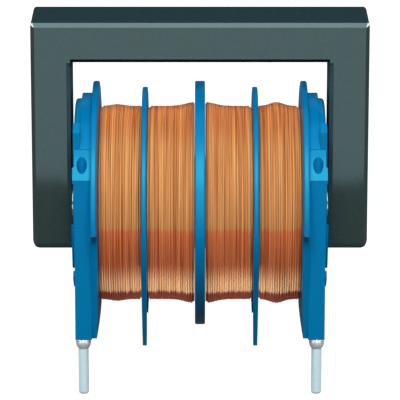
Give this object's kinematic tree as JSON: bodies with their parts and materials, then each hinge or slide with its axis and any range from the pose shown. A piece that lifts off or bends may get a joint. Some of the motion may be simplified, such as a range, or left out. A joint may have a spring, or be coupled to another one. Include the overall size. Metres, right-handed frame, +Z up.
{
  "type": "power line choke",
  "caption": "Board-mounted common mode choke: a closed ferrite frame through a flanged coil former with wire windings, standing on round pins.",
  "frame": {"origin": "centre of the pin pattern on the plane where the feet of the former meet the board", "axes": "+X along the coil axis, +Y from the front to the rear, +Z up from the board"},
  "size_m": [0.023, 0.017, 0.0253],
  "materials": {
    "ferrite": "satin fired ceramic",
    "former": "glossy moulded blue",
    "copper": "clear enamelled copper wire",
    "tinned_pin": "bright tin plate",
    "solder": "bright solder"
  },
  "bodies": {
    "root": {"ferrite_core": "ferrite", "former_upper": "former", "former_lower": "former", "winding_left": "copper", "winding_right": "copper", "pin_front_left": "tinned_pin", "pin_front_right": "tinned_pin", "pin_rear_left": "tinned_pin", "pin_rear_right": "tinned_pin", "solder_front_left": "solder", "solder_front_right": "solder", "solder_rear_left": "solder", "solder_rear_right": "solder"}
  },
  "joints": []
}
